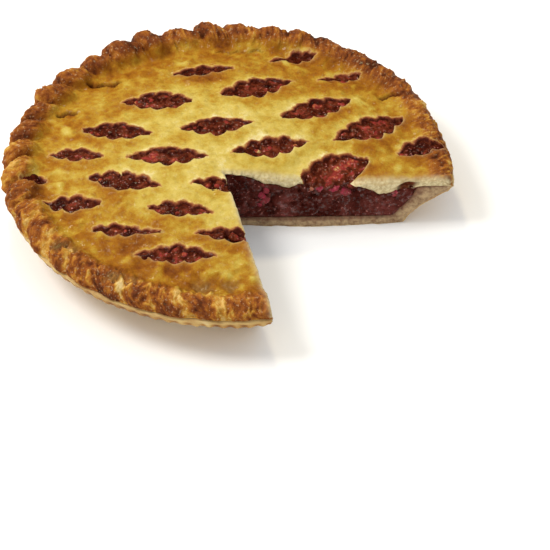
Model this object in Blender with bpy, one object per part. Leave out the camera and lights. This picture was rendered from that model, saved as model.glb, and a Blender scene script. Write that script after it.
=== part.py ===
"""Cherry pie with one wedge cut out: a bottom crust, a cherry filling and a slit, crimped top crust.

Metres, +Z up. The origin is the centre of the round base, on the surface that the pie stands on.
The missing wedge opens towards +X and -Y.
"""
import math

import bmesh
import bpy

# Outside of the pie.
BASE_RADIUS = 0.0965
RIM_FOOT_RADIUS = 0.104
LID_EDGE_HEIGHT = 0.0312
LID_CENTRE_HEIGHT = 0.0392

# Thicknesses of the dough, and the gap that keeps touching solids apart.
LID_THICKNESS = 0.0042
BASE_THICKNESS = 0.0052
WALL_THICKNESS = 0.0046
GAP = 0.0003

# Crimped rope around the rim: a half ellipse in section, with slanting flutes.
FLUTES = 41
STEPS_PER_FLUTE = 4
ROPE_STEPS = 6
ROPE_FOOT_HEIGHT = 0.0300
ROPE_LIP_HEIGHT = 0.0268
FLUTE_DEPTH = 0.30
FLUTE_BULGE = 0.0009
FLUTE_TWIST = math.radians(150)

# The hand-made rim is uneven: its outer radius, and the rope's rise above its foot, at these angles.
RIM_RADIUS_AT = (
    (0, 0.1212),
    (18, 0.1188),
    (45, 0.1220),
    (90, 0.1230),
    (135, 0.1212),
    (180, 0.1230),
    (225, 0.1212),
    (290, 0.1212),
)
ROPE_RISE_AT = (
    (0, 0.0016),
    (30, 0.0052),
    (75, 0.0082),
    (115, 0.0078),
    (180, 0.0060),
    (225, 0.0042),
    (285, 0.0032),
)

# Bottom crust: the flange under the rope, and the wall with the ridges of its tin.
FLANGE_HEIGHT = 0.0256
FLANGE_RADIUS = 0.1196
WALL_TOP_RADIUS = 0.1120
WALL_TOP_HEIGHT = 0.0208
RIDGE_DEPTH = 0.0005
CORNER_RADIUS = 0.0024

# Rings of points across the lid, its underside and the filling below it.
LID_RINGS = (0.092, 0.076, 0.058, 0.038, 0.018)

# The missing wedge, measured from its point, and the lid's sag along its right-hand cut.
CUT_POINT = (-0.0035, -0.0140)
LEFT_CUT = math.radians(-75.3)
RIGHT_CUT = math.radians(2.6)
CUT_LENGTH = 0.20
SAG_DEPTH = 0.0058
SAG_MIDDLE = 0.052
SAG_LENGTH = 0.036
SAG_WIDTH = 0.018

# Slits in staggered rows, cut by a blade that widens in round lobes along each slit.
SLIT_START = (-0.0339, 0.0030)
SLIT_SPACING = 0.0556
ROW_SPACING = 0.0236
ROW_SHIFT = -0.0028
ROW_SPREAD = 0.00086
ROW_SLOPE = 0.194
ROW_BOW = 1.8
ROW_FAN = 0.16
SLIT_TURN = 1.5
SLIT_TURN_BACK = math.radians(6)
SLIT_STEPS = 16
LOBE_PITCH = 0.0094
LOBE_DEPTH = 0.0013
SLIT_REACH = 0.1035

# Each slit's row, counted from front to back, its place in the row, its widest gape and its length,
# then how far the blade went astray: to the right, to the back, and in degrees.
SLITS = (
    (3, 0, 0.006, 0.037, -0.002, 0.000, 0),
    (3, 1, 0.008, 0.024, 0.002, -0.004, -20),
    (2, 0, 0.014, 0.040, -0.001, 0.001, 0),
    (2, 1, 0.014, 0.042, -0.003, 0.003, 0),
    (2, 2, 0.008, 0.030, -0.003, -0.005, -22),
    (1, -1, 0.013, 0.040, 0.002, -0.001, 0),
    (1, 0, 0.013, 0.041, 0.001, -0.002, 0),
    (1, 1, 0.014, 0.043, 0.000, 0.001, 0),
    (0, -1, 0.010, 0.032, 0.004, 0.001, 12),
    (0, 0, 0.013, 0.042, 0.000, -0.001, -2),
    (0, 1, 0.012, 0.041, 0.000, -0.001, 0),
    (0, 2, 0.016, 0.044, -0.001, 0.000, 0),
    (-1, -2, 0.007, 0.020, 0.014, 0.002, 0),
    (-1, -1, 0.013, 0.042, 0.002, 0.002, -6),
    (-1, 0, 0.011, 0.038, 0.003, -0.006, -10),
    (-1, 1, 0.022, 0.042, 0.004, 0.002, 0),
    (-1, 2, 0.009, 0.026, -0.008, -0.002, -14),
    (-2, -1, 0.012, 0.038, 0.000, 0.005, 8),
    (-2, 0, 0.011, 0.038, 0.001, -0.001, -5),
    (-3, -1, 0.007, 0.038, 0.000, 0.002, 0),
    (-3, 0, 0.010, 0.038, 0.001, -0.006, -8),
    (-4, 0, 0.011, 0.038, -0.003, 0.000, 0),
)

COLUMNS = FLUTES * STEPS_PER_FLUTE
CUTTER_BOTTOM = -0.02
CUTTER_TOP = 0.06


def clear_scene():
    for scene_object in list(bpy.data.objects):
        bpy.data.objects.remove(scene_object, do_unlink=True)


def linear(red, green, blue):
    """Linear colour from 8-bit display values."""
    return tuple((value / 255.0) ** 2.2 for value in (red, green, blue)) + (1.0,)


def make_material(name, colour, roughness):
    material = bpy.data.materials.new(name)
    material.use_nodes = True
    shader = material.node_tree.nodes["Principled BSDF"]
    shader.inputs["Base Color"].default_value = colour
    shader.inputs["Roughness"].default_value = roughness
    shader.inputs["Metallic"].default_value = 0.0
    return material


def make_object(name, bm, material=None):
    bmesh.ops.recalc_face_normals(bm, faces=bm.faces)
    mesh = bpy.data.meshes.new(name)
    bm.to_mesh(mesh)
    bm.free()
    made = bpy.data.objects.new(name, mesh)
    bpy.context.collection.objects.link(made)
    if material is not None:
        mesh.materials.append(material)
        mesh.shade_smooth()
        mesh.set_sharp_from_angle(angle=math.radians(40))
    return made


def cut(target, cutter):
    modifier = target.modifiers.new("cut by " + cutter.name, "BOOLEAN")
    modifier.operation = "DIFFERENCE"
    modifier.solver = "EXACT"
    modifier.object = cutter


def lid_top(x, y):
    """Height of the lid: a shallow dome that sags along the right-hand cut."""
    dome = 1.0 - (x * x + y * y) / RIM_FOOT_RADIUS ** 2
    height = LID_EDGE_HEIGHT + (LID_CENTRE_HEIGHT - LID_EDGE_HEIGHT) * dome
    from_point_x = x - CUT_POINT[0]
    from_point_y = y - CUT_POINT[1]
    along = from_point_x * math.cos(RIGHT_CUT) + from_point_y * math.sin(RIGHT_CUT)
    across = from_point_y * math.cos(RIGHT_CUT) - from_point_x * math.sin(RIGHT_CUT)
    sag = math.exp(-((along - SAG_MIDDLE) / SAG_LENGTH) ** 2 - (across / SAG_WIDTH) ** 2)
    return height - SAG_DEPTH * sag


def around(stops, angle):
    """Value at this angle of a smooth run through stops, each an angle in degrees and a value."""
    degrees = math.degrees(angle) % 360
    closed = stops + ((stops[0][0] + 360, stops[0][1]),)
    for (start, first), (end, second) in zip(closed, closed[1:]):
        if start <= degrees <= end:
            share = (1.0 - math.cos(math.pi * (degrees - start) / (end - start))) / 2
            return first + (second - first) * share
    return stops[0][1]


def rope_point(angle, share):
    """Point on the rope at this angle; share runs from 0 at its inner foot to 1 at its outer lip."""
    turn = math.pi * share
    rise = around(ROPE_RISE_AT, angle)
    flute = math.cos(FLUTES * angle - FLUTE_TWIST * (share - 0.5))
    half_width = (around(RIM_RADIUS_AT, angle) - RIM_FOOT_RADIUS) / 2
    radius = RIM_FOOT_RADIUS + half_width * (1.0 - math.cos(turn)) + FLUTE_BULGE * flute * share
    slope = ROPE_FOOT_HEIGHT + (ROPE_LIP_HEIGHT - ROPE_FOOT_HEIGHT) * share
    height = slope + rise * math.sin(turn) * (1.0 + FLUTE_DEPTH * flute)
    return radius, height


def ridged_radius(radius, column):
    """Radius of the wall, which the ridged tin pushed in and out by turns."""
    return radius + RIDGE_DEPTH * (1 if column % 2 else -1)


def add_ring(bm, count, place):
    """Adds one ring of points; place gives each point's radius and height from its angle and number."""
    ring = []
    for number in range(count):
        angle = 2 * math.pi * number / count
        radius, height = place(angle, number)
        ring.append(bm.verts.new((radius * math.cos(angle), radius * math.sin(angle), height)))
    return ring


def add_round_ring(bm, count, radius, height):
    return add_ring(bm, count, lambda angle, number: (radius, height))


def add_lid_ring(bm, count, radius, drop):
    """Adds a ring that follows the lid's top at this radius, lowered by drop."""
    def place(angle, number):
        return radius, lid_top(radius * math.cos(angle), radius * math.sin(angle)) - drop
    return add_ring(bm, count, place)


def bridge(bm, first, second):
    """Joins two rings, of which one may have several times the other's points."""
    count = max(len(first), len(second))
    for number in range(count):
        corners = []
        for ring, step in ((first, 0), (first, 1), (second, 1), (second, 0)):
            corner = ring[(number + step) * len(ring) // count % len(ring)]
            if corner not in corners:
                corners.append(corner)
        bm.faces.new(corners)


def skin(rings, bm):
    for first, second in zip(rings, rings[1:]):
        bridge(bm, first, second)
    bmesh.ops.triangulate(bm, faces=bm.faces)


def make_top_crust(material):
    """Lid and rope in one piece of dough."""
    bm = bmesh.new()
    rings = [add_lid_ring(bm, 1, 0.0, 0.0)]
    for radius in reversed(LID_RINGS):
        rings.append(add_lid_ring(bm, FLUTES, radius, 0.0))
    for step in range(ROPE_STEPS + 1):
        share = step / ROPE_STEPS
        rings.append(add_ring(bm, COLUMNS, lambda angle, number, at=share: rope_point(angle, at)))
    rings.append(add_round_ring(bm, COLUMNS, FLANGE_RADIUS, FLANGE_HEIGHT + GAP))
    rings.append(add_round_ring(bm, FLUTES, RIM_FOOT_RADIUS + 0.002, FLANGE_HEIGHT + GAP))
    for radius in LID_RINGS:
        rings.append(add_lid_ring(bm, FLUTES, radius, LID_THICKNESS))
    rings.append(add_lid_ring(bm, 1, 0.0, LID_THICKNESS))
    skin(rings, bm)
    return make_object("top_crust", bm, material)


def make_filling(material):
    """Everything between the two crusts."""
    bm = bmesh.new()
    drop = LID_THICKNESS + GAP
    rings = [add_lid_ring(bm, 1, 0.0, drop)]
    for radius in reversed(LID_RINGS):
        rings.append(add_lid_ring(bm, FLUTES, radius, drop))
    for radius, height in inner_wall(GAP):
        rings.append(add_round_ring(bm, FLUTES, radius, height))
    rings.append(add_round_ring(bm, 1, 0.0, BASE_THICKNESS + GAP))
    skin(rings, bm)
    return make_object("filling", bm, material)


def inner_wall(inset):
    """Inner face of the bottom crust, from the flange down to its floor, moved inwards by inset."""
    slope = (WALL_TOP_RADIUS - BASE_RADIUS) / WALL_TOP_HEIGHT
    floor = BASE_THICKNESS + inset
    bend = 2 * BASE_THICKNESS
    foot = BASE_RADIUS - WALL_THICKNESS - 2 * inset
    top_height = FLANGE_HEIGHT - 0.0010
    return (
        (foot + slope * (WALL_TOP_HEIGHT - BASE_THICKNESS), top_height - inset),
        (foot + slope * (bend - BASE_THICKNESS / 2), bend),
        (foot - BASE_THICKNESS / 2, floor),
    )


def make_bottom_crust(material):
    """Flat base, ridged wall and the flange that the rope is crimped onto."""
    bm = bmesh.new()
    rings = [add_round_ring(bm, 1, 0.0, BASE_THICKNESS)]
    for radius, height in reversed(inner_wall(0.0)):
        rings.append(add_round_ring(bm, FLUTES, radius, height))
    rings.append(add_round_ring(bm, FLUTES, RIM_FOOT_RADIUS + 0.002, FLANGE_HEIGHT))
    rings.append(add_round_ring(bm, COLUMNS, FLANGE_RADIUS, FLANGE_HEIGHT))
    rings.append(add_round_ring(bm, COLUMNS, FLANGE_RADIUS + 0.0012, FLANGE_HEIGHT - 0.0012))
    wall = (
        (WALL_TOP_RADIUS, WALL_TOP_HEIGHT),
        (BASE_RADIUS + 0.0092, 0.0150),
        (BASE_RADIUS, CORNER_RADIUS),
    )
    for radius, height in wall:
        def place(angle, number, wide=radius, high=height):
            return ridged_radius(wide, number), high
        rings.append(add_ring(bm, COLUMNS, place))
    rings.append(add_round_ring(bm, COLUMNS, BASE_RADIUS - CORNER_RADIUS, 0.0))
    rings.append(add_round_ring(bm, 1, 0.0, 0.0))
    skin(rings, bm)
    return make_object("bottom_crust", bm, material)


def add_prism(bm, outline, bottom, top):
    lower = [bm.verts.new((x, y, bottom)) for x, y in outline]
    upper = [bm.verts.new((x, y, top)) for x, y in outline]
    bm.faces.new(lower)
    bm.faces.new(upper)
    bridge(bm, lower, upper)


def make_cutter(name, outlines):
    bm = bmesh.new()
    for outline in outlines:
        add_prism(bm, outline, CUTTER_BOTTOM, CUTTER_TOP)
    made = make_object(name, bm)
    made.hide_render = True
    made.display_type = "WIRE"
    return made


def wedge_outline():
    def along(angle, length):
        return CUT_POINT[0] + length * math.cos(angle), CUT_POINT[1] + length * math.sin(angle)
    middle = (LEFT_CUT + RIGHT_CUT) / 2
    return [CUT_POINT, along(LEFT_CUT, CUT_LENGTH), along(middle, CUT_LENGTH), along(RIGHT_CUT, CUT_LENGTH)]


def slit_place(row, place):
    """Centre and direction of a slit; the rows bow and fan out towards the right."""
    fan = 1.0 + ROW_FAN * row
    x = SLIT_START[0] + (place + 0.5 * (row % 2)) * SLIT_SPACING + ROW_SHIFT * row
    y = SLIT_START[1] + ROW_SPACING * row + ROW_SPREAD * row ** 2 + (ROW_SLOPE + ROW_BOW * x) * x * fan
    slope = math.atan((ROW_SLOPE + 2 * ROW_BOW * x) * fan)
    return x, y, SLIT_TURN * slope - SLIT_TURN_BACK


def slit_outline(row, place, gape, length, right, back, degrees):
    """Lens-shaped outline with lobed edges, kept inside the rope."""
    centre_x, centre_y, angle = slit_place(row, place)
    centre_x += right
    centre_y += back
    angle += math.radians(degrees)
    front = []
    rear = []
    for step in range(1, SLIT_STEPS):
        share = 2 * step / SLIT_STEPS - 1
        along = share * length / 2
        lens = (1 - share * share) ** 0.75
        half = lens * (gape / 2 + LOBE_DEPTH * math.cos(2 * math.pi * along / LOBE_PITCH))
        front.append((along, -half))
        rear.append((along, half))
    local = [(-length / 2, 0.0)] + front + [(length / 2, 0.0)] + rear[::-1]
    outline = []
    for along, across in local:
        x = centre_x + along * math.cos(angle) - across * math.sin(angle)
        y = centre_y + along * math.sin(angle) + across * math.cos(angle)
        outline.append(pull_inside(x, y))
    return outline


def pull_inside(x, y):
    """Squeezes what lies close to the rope towards the middle, so that no slit cuts the rope."""
    radius = math.hypot(x, y)
    soft_start = 0.9 * SLIT_REACH
    if radius <= soft_start:
        return x, y
    room = SLIT_REACH - soft_start
    squeezed = soft_start + room * math.tanh((radius - soft_start) / room)
    return x * squeezed / radius, y * squeezed / radius


def build():
    clear_scene()
    crust_top = make_material("crust_top", linear(214, 172, 88), 0.42)
    crust_bottom = make_material("crust_bottom", linear(203, 168, 118), 0.75)
    cherry = make_material("cherry_filling", linear(88, 30, 24), 0.22)
    wedge = make_cutter("wedge_cutter", [wedge_outline()])
    slits = make_cutter("slit_cutter", [slit_outline(*slit) for slit in SLITS])
    top_crust = make_top_crust(crust_top)
    cut(top_crust, slits)
    cut(top_crust, wedge)
    cut(make_filling(cherry), wedge)
    cut(make_bottom_crust(crust_bottom), wedge)


build()
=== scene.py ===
"""Looks of the cherry pie: crimped and slit top crust, lumpy cherry filling, ridged bottom crust.

Shapes are worked out in millimetres and written into the meshes in metres. A piece is a thick sheet:
a flat plan is triangulated, and two maps carry it to the sheet's outer and inner surfaces.
"""
import math

import bmesh
import bpy
import numpy as np
from mathutils import Matrix, Vector
from mathutils.geometry import delaunay_2d_cdt
from mathutils.kdtree import KDTree


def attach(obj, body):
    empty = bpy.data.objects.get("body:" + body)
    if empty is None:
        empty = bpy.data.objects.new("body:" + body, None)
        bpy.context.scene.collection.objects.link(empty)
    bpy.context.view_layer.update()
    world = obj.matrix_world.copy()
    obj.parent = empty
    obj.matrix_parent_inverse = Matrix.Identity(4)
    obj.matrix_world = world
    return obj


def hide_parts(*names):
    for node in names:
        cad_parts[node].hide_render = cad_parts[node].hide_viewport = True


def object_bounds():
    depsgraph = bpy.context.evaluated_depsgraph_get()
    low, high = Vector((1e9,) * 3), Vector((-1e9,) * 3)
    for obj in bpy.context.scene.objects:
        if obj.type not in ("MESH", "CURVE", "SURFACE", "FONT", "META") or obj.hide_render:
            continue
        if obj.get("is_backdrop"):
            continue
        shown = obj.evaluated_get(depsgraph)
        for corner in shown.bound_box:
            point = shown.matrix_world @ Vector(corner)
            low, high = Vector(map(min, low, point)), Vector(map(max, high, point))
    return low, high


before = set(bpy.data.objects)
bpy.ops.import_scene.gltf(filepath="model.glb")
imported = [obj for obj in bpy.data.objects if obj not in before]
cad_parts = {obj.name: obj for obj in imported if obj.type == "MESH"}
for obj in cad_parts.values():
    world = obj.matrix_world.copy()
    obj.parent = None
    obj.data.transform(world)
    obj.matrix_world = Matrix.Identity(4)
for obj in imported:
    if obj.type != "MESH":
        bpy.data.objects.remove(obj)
cad_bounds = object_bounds()

MM = 0.001

# The CAD model's sizes, in millimetres.
BASE_RADIUS = 96.5
FOOT = 104.0
LID_EDGE_HEIGHT = 31.2
LID_CENTRE_HEIGHT = 39.2
LID_THICKNESS = 4.2
BASE_THICKNESS = 5.2
FLUTES = 41
ROPE_LIP_HEIGHT = 26.8
ROPE_DROP = 3.8
FOOT_SPREAD = 3.0
FLUTE_DEPTH = 0.36
FLUTE_BULGE = 1.2
FLUTE_TWIST = math.radians(150)
RIM_RADIUS_AT = (
    (0, 121.2), (18, 120.6), (45, 124.6), (90, 123.0), (135, 121.2), (180, 123.0), (225, 121.2), (290, 121.2),
)
ROPE_RISE_AT = ((0, 1.6), (30, 5.2), (75, 8.2), (115, 7.8), (180, 6.0), (225, 4.2), (285, 3.2))
FLANGE_HEIGHT = 25.6
FLANGE_RADIUS = 119.6
CUT_POINT = np.array((-3.5, -14.0))
LEFT_CUT = math.radians(-75.3)
RIGHT_CUT = math.radians(2.6)
GAP_MIDDLE = (LEFT_CUT + RIGHT_CUT) / 2.0
SAG_DEPTH = 5.8
SAG_MIDDLE = 52.0
SAG_LENGTH = 36.0
SAG_WIDTH = 18.0
SLIT_START = (-33.9, 3.0)
SLIT_SPACING = 55.6
ROW_SPACING = 23.6
ROW_SHIFT = -2.8
ROW_SPREAD = 0.86
ROW_SLOPE = 0.194
ROW_BOW = 0.0018
ROW_FAN = 0.16
SLIT_TURN = 1.5
SLIT_BOW = 3.0
SLIT_TURN_BACK = math.radians(6)
LOBE_PITCH = 9.4
LOBE_DEPTH = 1.3

# Each slit's row and place in it, its widest gape and its length, then how far it went astray:
# to the right, to the back, and in degrees. The slit in row -1 at place 2 bows back a little in the middle.
SLITS = (
    (3, 0, 6, 33, -2.8, 0, 0),
    (3, 1, 8.4, 24, -7.5, -4.6, -24),
    (2, 0, 14, 37, -1, 1, 0),
    (2, 1, 14, 41, -3, 3, 0),
    (2, 2, 7.4, 23, -11.7, -8.0, -24),
    (1, -1, 12.4, 38, 2, -1, 0),
    (1, 0, 12.6, 39.5, 1, -2, 0),
    (1, 1, 14, 43, 0, 1, 0),
    (0, -1, 8.4, 28, 6.2, 2.2, 6),
    (0, 0, 12.6, 41, 0, -1, -2),
    (0, 1, 12, 41, 0, -1, 0),
    (0, 2, 16, 44, -1, 0, 0),
    (-1, -2, 7.5, 13, 9.8, 0.2, 24),
    (-1, -1, 12, 39, 2, 2, -6),
    (-1, 0, 8.6, 37, 3, -5.4, -10),
    (-1, 1, 18.5, 42, 4, 1.2, 4),
    (-1, 2, 10, 27, -3.4, -1.9, -15),
    (-2, -1, 9.4, 31, 0.4, 5, 8),
    (-2, 0, 9, 33, 2, -2.2, -5),
    (-3, -1, 7.6, 37, 0, 2, 0),
    (-3, 0, 7.4, 37, 1, -5, -8),
    (-4, 0, 10, 39.5, -4.2, 0, 0),
)

# Slits of which one end stayed nearly shut: row, place, and the end, left (-1) or right (1).
HALF_SHUT = ((3, 1, -1), (2, 2, -1), (-3, -1, 1))

# Nearly closed slits along the rope's foot: centre, direction in degrees, length, width, depth and darkness.
CRACKS = (
    (-71.8, 67.9, 3, 20, 3.4, 3.4, 1.0),
    (-91.2, 41.3, 12, 11, 2.8, 3.0, 1.0),
    (3.0, 100.6, 2, 27, 1.8, 1.2, 0.35),
    (88.3, 61.0, 0, 13, 3.0, 2.4, 0.9),
)
CRACK_WAVE = 0.7

# Finger marks along the rope at the front: centre, size and depth.
DIMPLES = (
    (-89.0, -73.0, 5.5, 1.6),
    (-81.0, -74.0, 5.0, 1.5),
    (-58.0, -97.0, 5.5, 1.7),
    (-49.5, -99.0, 5.0, 1.6),
    (-12.0, -101.5, 7.0, 1.4),
    (2.0, -100.0, 5.5, 1.4),
)

# How far the rim is smoothed into one slope with the lid instead of standing up as a rope.
FLATNESS_AT = ((0, 1.0), (35, 0.85), (60, 0.45), (80, 0.0), (285, 0.0), (340, 1.0))
FRONT_AT = ((0, 0.0), (185, 0.0), (212, 1.0), (300, 1.0), (340, 0.0))
FLUTE_STRENGTH_AT = (
    (0, 0.10), (60, 0.18), (82, 0.45), (120, 0.9), (165, 1.25), (215, 1.2), (240, 0.9), (285, 0.7), (330, 0.3),
)

# The top crust's thickness along the right-hand cut, and how far it hangs out over the filling.
FLAP_THICKNESS_AT = (
    (0, 1.5), (10, 2.4), (17, 4.4), (22, 6.8), (36, 7.2), (41, 4.6), (46, 4.0), (69, 2.6), (73, 5.0), (78, 8.5),
    (84, 10.0), (93, 9.5), (97, 6.5), (112, 4.5),
)
FLAP_REACH_AT = (
    (0, 0.2), (16, 0.3), (22, 1.6), (37, 1.4), (41, 0.3), (66, 0.5), (71, 1.8), (90, 1.6), (96, 0.5), (112, 0.3),
)

POCKET_ALONG = 99.5
POCKET_HEIGHT = 26.0

# The plan: its radius is the real one up to the rope's foot, then runs over the rope to its lip.
PLAN_LIP = 131.0
LID_SPACING = 1.15
ROPE_SPACING = 0.85
LOOP_SPACING = 0.7
EDGE_RINGS = (0.35, 0.8, 1.4, 2.1)
CRUST_ROWS = 8
FILLING_LEVEL = 0.8
FILLING_EDGE = 118.0
FILLING_ROWS = 46

# The bottom crust's outside as a turned profile of radius and height, and the inside that faces it.
SHELL_OUTSIDE = (
    (0.0, 0.0), (60.0, 0.0), (92.5, 0.0), (94.8, 0.6), (96.2, 2.0), (97.2, 4.0), (105.7, 14.0), (112.5, 17.6),
    (118.4, 19.2), (119.8, 21.6), (121.4, 24.6),
)
SHELL_INSIDE = (
    (0.0, 5.2), (60.0, 5.2), (86.0, 5.2), (88.0, 5.6), (89.5, 6.6), (90.5, 8.0), (96.5, 15.0), (100.5, 21.0),
    (102.5, 25.2), (112.0, 25.9), (119.8, 26.0),
)
RIDGES = 104


def smooth(value):
    value = np.clip(value, 0.0, 1.0)
    return value * value * (3.0 - 2.0 * value)


def lattice_directions(cell, seed):
    """A repeatable unit vector for each whole-number cell (n, 3)."""
    mixed = cell[:, 0] * 73856093 ^ cell[:, 1] * 19349663 ^ cell[:, 2] * 83492791 ^ seed * 40503
    mixed = (mixed ^ (mixed >> 13)) * 1274126177 & 0x7FFFFFFF
    height = ((mixed >> 7) % 2048) / 1023.5 - 1.0
    turn = ((mixed >> 18) % 4096) / 4096.0 * 2.0 * math.pi
    flat = np.sqrt(1.0 - height * height)
    return np.stack((flat * np.cos(turn), flat * np.sin(turn), height), axis=1)


def noise(points, size, seed):
    """Gradient noise, from about -1 to 1, with features of this size."""
    scaled = points / size + 0.37 * seed
    cell = np.floor(scaled).astype(np.int64)
    part = scaled - cell
    ease = part ** 3 * (part * (part * 6.0 - 15.0) + 10.0)
    total = np.zeros(len(points))
    for corner in np.ndindex(2, 2, 2):
        weight = np.prod(np.where(corner, ease, 1.0 - ease), axis=1)
        total += weight * np.sum(lattice_directions(cell + corner, seed) * (part - corner), axis=1)
    return 1.5 * total


def fractal(points, size, seed, octaves=3):
    total = np.zeros(len(points))
    for octave in range(octaves):
        total += noise(points, size / 2 ** octave, seed + octave) / 2 ** octave
    return total


def around(stops, angle):
    """Value at each angle of a smooth run through stops, each an angle in degrees and a value."""
    degrees = np.degrees(angle) % 360.0
    starts = np.array([stop[0] for stop in stops] + [stops[0][0] + 360.0])
    values = np.array([stop[1] for stop in stops] + [stops[0][1]], dtype=float)
    place = np.clip(np.searchsorted(starts, degrees, side="right") - 1, 0, len(stops) - 1)
    share = (degrees - starts[place]) / (starts[place + 1] - starts[place])
    return values[place] + (values[place + 1] - values[place]) * (1.0 - np.cos(math.pi * share)) / 2.0


def between(stops, value):
    """Value of a straight-line run through stops."""
    return np.interp(value, [stop[0] for stop in stops], [stop[1] for stop in stops])


def polar(points):
    return np.hypot(points[:, 0], points[:, 1]), np.arctan2(points[:, 1], points[:, 0])


def at_radius(plan, radius):
    """Moves plan points along their lines from the cut point until they lie at this radius."""
    offset = plan - CUT_POINT
    direction = offset / np.maximum(np.linalg.norm(offset, axis=1), 1e-6)[:, None]
    toward = direction @ CUT_POINT
    length = np.sqrt(toward ** 2 - CUT_POINT @ CUT_POINT + radius ** 2) - toward
    return CUT_POINT + direction * length[:, None]


def ring_places(angle, radius):
    """Places on a level circle of this radius."""
    return np.column_stack((radius * np.cos(angle), radius * np.sin(angle), np.zeros(len(angle))))


def from_right_cut(plan):
    """Distances along the right-hand cut and away from it."""
    offset = plan - CUT_POINT
    along = offset[:, 0] * math.cos(RIGHT_CUT) + offset[:, 1] * math.sin(RIGHT_CUT)
    across = offset[:, 1] * math.cos(RIGHT_CUT) - offset[:, 0] * math.sin(RIGHT_CUT)
    return along, across


def lid_height(plan):
    """Height of the lid: a shallow dome that sags along the right-hand cut."""
    radius = np.hypot(plan[:, 0], plan[:, 1])
    dome = 1.0 - np.minimum(radius / FOOT, 1.0) ** 2
    along, across = from_right_cut(plan)
    sag = SAG_DEPTH * np.exp(-((along - SAG_MIDDLE) / SAG_LENGTH) ** 2 - (across / SAG_WIDTH) ** 2)
    return LID_EDGE_HEIGHT + (LID_CENTRE_HEIGHT - LID_EDGE_HEIGHT) * dome - sag


def rope_share(plan):
    radius, angle = polar(plan)
    return np.clip((radius - FOOT) / (PLAN_LIP - FOOT), 0.0, 1.0), angle


def flute_turn(angle, share):
    """How many lobes lie before this place along the rope; the lobes are slanting and uneven."""
    angle = (angle - GAP_MIDDLE) % (2.0 * math.pi) + GAP_MIDDLE
    ring = ring_places(angle, FOOT + 15.0)
    ring[:, 2] = 30.0 * share
    wander = 1.3 * noise(ring, 27.0, 11) + 0.45 * noise(ring, 7.0, 12)
    return (FLUTES * angle - FLUTE_TWIST * (share - 0.5) + wander) / (2.0 * math.pi) + 0.5


def flute_wave(angle, share):
    """Lobes from -1 to 1: each rises slowly and drops steeply into the crease before the next."""
    turn = flute_turn(angle, share)
    part = turn % 1.0
    number = np.floor(turn).astype(int) % FLUTES
    size = np.random.default_rng(17).uniform(0.6, 1.15, FLUTES)[number]
    return 2.0 * size * np.sin(math.pi * part ** 1.6) ** 0.8 - 1.0


def folds(angle, share):
    """Sharp fine folds of the dough that run over the rope, from 0 to 1."""
    run = np.column_stack((5.6 * flute_turn(angle, share), 2.6 * share, np.zeros(len(share))))
    return np.clip(1.0 - 3.4 * np.abs(noise(run, 1.0, 39)), 0.0, 1.0) * smooth(0.7 + noise(run, 2.2, 40))


def rope_radius(share, angle):
    width = around(RIM_RADIUS_AT, angle) - FOOT
    wave = FLUTE_BULGE * flute_wave(angle, share) * around(FLUTE_STRENGTH_AT, angle)
    ring = ring_places(angle, FOOT + 15.0)
    wave = wave + 0.5 * noise(ring, 8.0, 8) + 0.35 * noise(ring, 3.6, 9)
    return FOOT + width * np.sin(math.pi / 2.0 * share) + wave * share


def rope_swell(plan, angle):
    """Share of the way over the rope's arch, whose foot wanders in and out."""
    radius = np.hypot(plan[:, 0], plan[:, 1])
    foot = ring_places(angle, FOOT)
    wander = 0.10 * noise(foot, 13.0, 6) + 0.06 * noise(foot, 5.0, 7)
    swell = (radius - FOOT + FOOT_SPREAD) / (PLAN_LIP - FOOT + FOOT_SPREAD)
    return np.clip(swell + wander * (1.0 - np.abs(swell)), 0.0, 1.0)


def crust_outer(plan):
    """The lid and the rim without their relief."""
    share, angle = rope_share(plan)
    on_rope = share > 0.0
    place = plan.copy()
    place[on_rope] = at_radius(plan[on_rope], rope_radius(share[on_rope], angle[on_rope]))
    rise = around(ROPE_RISE_AT, angle)
    flatness = around(FLATNESS_AT, angle)
    swell = rope_swell(plan, angle)
    rope = rise * np.sin(math.pi * swell) ** (1.6 - 0.6 * swell) - ROPE_DROP * smooth(share)
    slope = (LID_EDGE_HEIGHT - ROPE_LIP_HEIGHT) * (1.0 - np.cos(math.pi / 2.0 * share))
    flat = 0.8 * rise * np.sin(math.pi * swell) ** 1.4 - slope
    return np.column_stack((place, lid_height(plan) + rope + (flat - rope) * flatness))


def flap_thickness(plan):
    """Thickness of the lid, which is uneven along the right-hand cut."""
    along, across = from_right_cut(plan)
    near = np.exp(-np.abs(across) / 4.0) * smooth(along / 3.0 + 0.5)
    ragged = 1.0 + 0.22 * fractal(np.column_stack((along, along * 0.0, along * 0.0)), 7.0, 29, 3)
    return LID_THICKNESS + (between(FLAP_THICKNESS_AT, along) * ragged - LID_THICKNESS) * near


def crust_inner(plan):
    """Underside of the lid, and the flat seat of the rope on the flange."""
    share, angle = rope_share(plan)
    radius = np.hypot(plan[:, 0], plan[:, 1])
    on_rope = share > 0.0
    place = plan.copy()
    place[on_rope] = at_radius(plan[on_rope], (FOOT + (FLANGE_RADIUS - FOOT) * share)[on_rope])
    under = lid_height(plan) - flap_thickness(plan)
    seat = FLANGE_HEIGHT + 0.1
    height = under + (seat - under) * smooth((radius - FOOT + 3.0) / 8.0)
    return np.column_stack((place, height))


def to_plan(places):
    """Plan points of places seen from above."""
    radius, angle = polar(places)
    plan = places.copy()
    shares = np.linspace(0.0, 0.95, 60)
    for number in np.flatnonzero(radius > FOOT):
        radii = np.maximum.accumulate(rope_radius(shares, np.full(len(shares), angle[number])))
        share = np.interp(radius[number], radii, shares)
        plan[number] = at_radius(places[number:number + 1], FOOT + (PLAN_LIP - FOOT) * share)[0]
    return plan


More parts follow.
